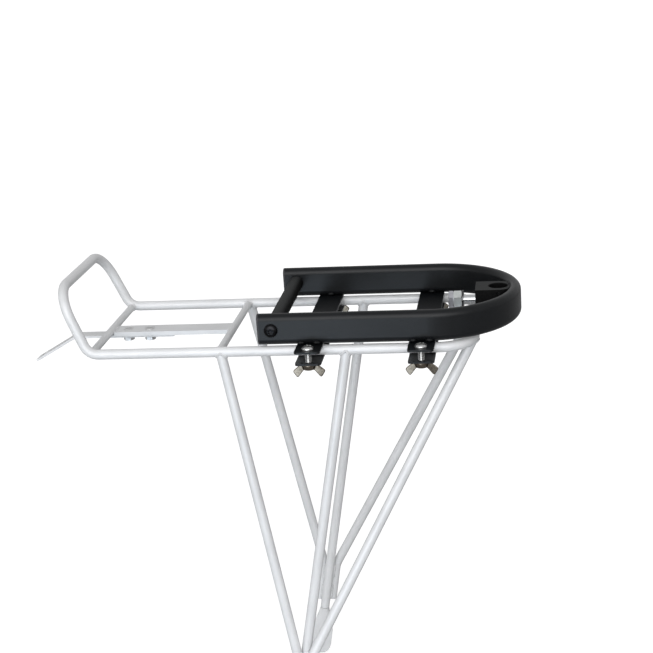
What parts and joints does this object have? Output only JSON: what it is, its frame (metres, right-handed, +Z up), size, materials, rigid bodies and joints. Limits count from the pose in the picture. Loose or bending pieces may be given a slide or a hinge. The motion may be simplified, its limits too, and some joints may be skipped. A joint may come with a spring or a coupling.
{
  "type": "rear rack",
  "caption": "Tubular bicycle rear rack with an inclined front hoop and bundled struts, carrying a clamped-on U-shaped flat-oval frame that ends in a pin coupling block.",
  "frame": {"origin": "midway between the two foot eyelets, on their common axis", "axes": "+X towards the rear of the bicycle, +Y towards its right-hand side, +Z up"},
  "size_m": [0.4017, 0.175, 0.3987],
  "materials": {
    "carrier_coat": "pale silver-white powder coat, faintly glossy",
    "black_coat": "satin black powder coat with a fine texture",
    "black_matt": "matt black coat with an open grain",
    "cap_plastic": "matt black moulded plug",
    "bright_steel": "bright plated steel",
    "dull_steel": "dull zinc-plated steel",
    "nickel_steel": "warm nickel-plated casting",
    "polished_steel": "polished steel",
    "zinc_steel": "pale zinc plating, slightly green",
    "grey_steel": "dull grey plating",
    "dark_steel": "dark oiled steel"
  },
  "bodies": {
    "rack": {"platform_loop": "carrier_coat", "hoop_crossbar": "carrier_coat", "middle_crossbar": "carrier_coat", "strut_front_left": "carrier_coat", "strut_front_right": "carrier_coat", "strut_middle_left": "carrier_coat", "strut_middle_right": "carrier_coat", "strut_rear_left": "carrier_coat", "strut_rear_right": "carrier_coat", "foot_left": "carrier_coat", "foot_right": "carrier_coat", "end_cap_left": "cap_plastic", "end_cap_right": "cap_plastic", "central_bar": "carrier_coat", "strap_bolt_front": "dull_steel", "strap_nut_front": "dull_steel", "strap_bolt_rear": "dull_steel", "strap_nut_rear": "dull_steel", "coupling_frame": "black_coat", "spacer_bar": "black_matt", "spacer_screw_left": "dark_steel", "spacer_screw_right": "dark_steel", "upper_strip_front": "black_coat", "upper_strip_rear": "black_coat", "clamp_screw_front_left": "bright_steel", "clamp_screw_front_right": "bright_steel", "clamp_screw_rear_left": "bright_steel", "clamp_screw_rear_right": "bright_steel", "coupling_block": "black_matt", "grub_screw": "dark_steel"},
    "strap": {"front_strap": "carrier_coat"},
    "front_clamp": {"lower_strip_front": "black_coat"},
    "rear_clamp": {"lower_strip_rear": "black_coat"},
    "front_left_nut": {"wing_nut_front_left": "nickel_steel"},
    "front_right_nut": {"wing_nut_front_right": "nickel_steel"},
    "rear_left_nut": {"wing_nut_rear_left": "nickel_steel"},
    "rear_right_nut": {"wing_nut_rear_right": "nickel_steel"},
    "lock_carrier": {"lock_washer": "dark_steel"},
    "lock": {"lock_screw": "polished_steel", "lock_screw_nut": "zinc_steel", "lock_screw_jam_nut": "grey_steel"}
  },
  "joints": [
    {"name": "strap_slide", "type": "slide", "parent": "rack", "child": "strap", "axis": [1, 0, 0], "range_m": [-0.01, 0.01]},
    {"name": "front_clamp_drop", "type": "slide", "parent": "rack", "child": "front_clamp", "axis": [0, 0, -1], "range_m": [0, 0.0024]},
    {"name": "front_left_nut_turn", "type": "hinge", "parent": "front_clamp", "child": "front_left_nut", "pos_m": [0.0341, -0.08, 0.32925], "axis": [0, 0, -1], "range_deg": [0, 1085]},
    {"name": "front_right_nut_turn", "type": "hinge", "parent": "front_clamp", "child": "front_right_nut", "pos_m": [0.0341, 0.08, 0.32925], "axis": [0, 0, -1], "range_deg": [0, 1085]},
    {"name": "rear_clamp_drop", "type": "slide", "parent": "rack", "child": "rear_clamp", "axis": [0, 0, -1], "range_m": [0, 0.0024]},
    {"name": "rear_left_nut_turn", "type": "hinge", "parent": "rear_clamp", "child": "rear_left_nut", "pos_m": [0.1196, -0.08, 0.32925], "axis": [0, 0, -1], "range_deg": [0, 1085]},
    {"name": "rear_right_nut_turn", "type": "hinge", "parent": "rear_clamp", "child": "rear_right_nut", "pos_m": [0.1196, 0.08, 0.32925], "axis": [0, 0, -1], "range_deg": [0, 1085]},
    {"name": "lock_feed", "type": "slide", "parent": "rack", "child": "lock_carrier", "axis": [-1, 0, 0], "range_m": [0, 0.005]},
    {"name": "lock_turn", "type": "hinge", "parent": "lock_carrier", "child": "lock", "pos_m": [0.15, 0, 0.3525], "axis": [-1, 0, 0], "range_deg": [0, 1445]}
  ],
  "couplings": [
    {"joint": "front_left_nut_turn", "follows": "front_clamp_drop", "rad_per_m": 7854},
    {"joint": "front_right_nut_turn", "follows": "front_clamp_drop", "rad_per_m": 7854},
    {"joint": "rear_left_nut_turn", "follows": "rear_clamp_drop", "rad_per_m": 7854},
    {"joint": "rear_right_nut_turn", "follows": "rear_clamp_drop", "rad_per_m": 7854},
    {"joint": "lock_turn", "follows": "lock_feed", "rad_per_m": 5026.5}
  ]
}
